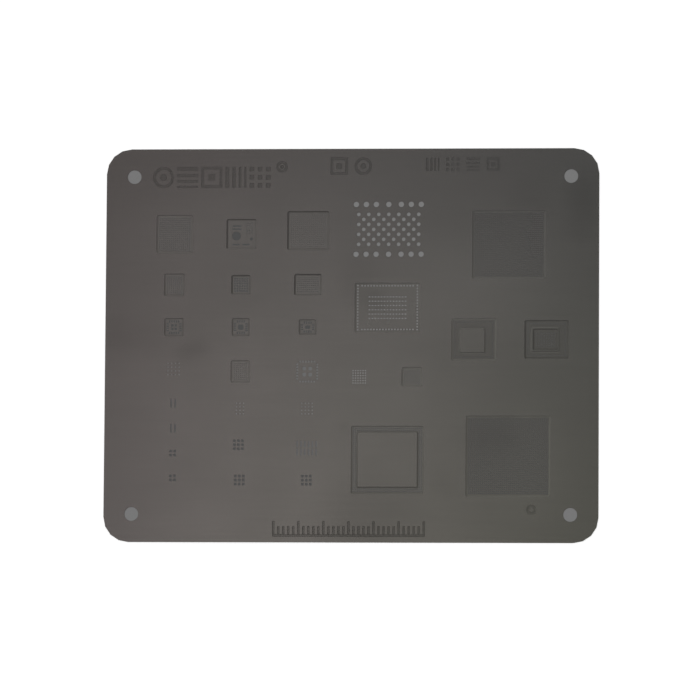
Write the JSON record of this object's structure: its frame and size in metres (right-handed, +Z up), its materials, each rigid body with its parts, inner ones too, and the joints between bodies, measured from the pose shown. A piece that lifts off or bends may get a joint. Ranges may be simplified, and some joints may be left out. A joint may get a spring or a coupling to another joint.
{
  "type": "solder paste stencil",
  "caption": "Thin stainless stencil sheet with half-etched recesses, pad apertures for many chip packages and a locating hole in each corner.",
  "frame": {"origin": "centre of the sheet's underside, on the surface it lies on", "axes": "+X along the long side, towards the processor patterns; +Y across the sheet, towards the storage chip's pattern; +Z up, out of the face with the half-etched recesses"},
  "size_m": [0.0988, 0.0788, 0.0003],
  "materials": {
    "etched_steel": "satin rolled stainless steel, darkened by etching"
  },
  "bodies": {
    "root": {"stencil_plate": "etched_steel"}
  },
  "joints": []
}
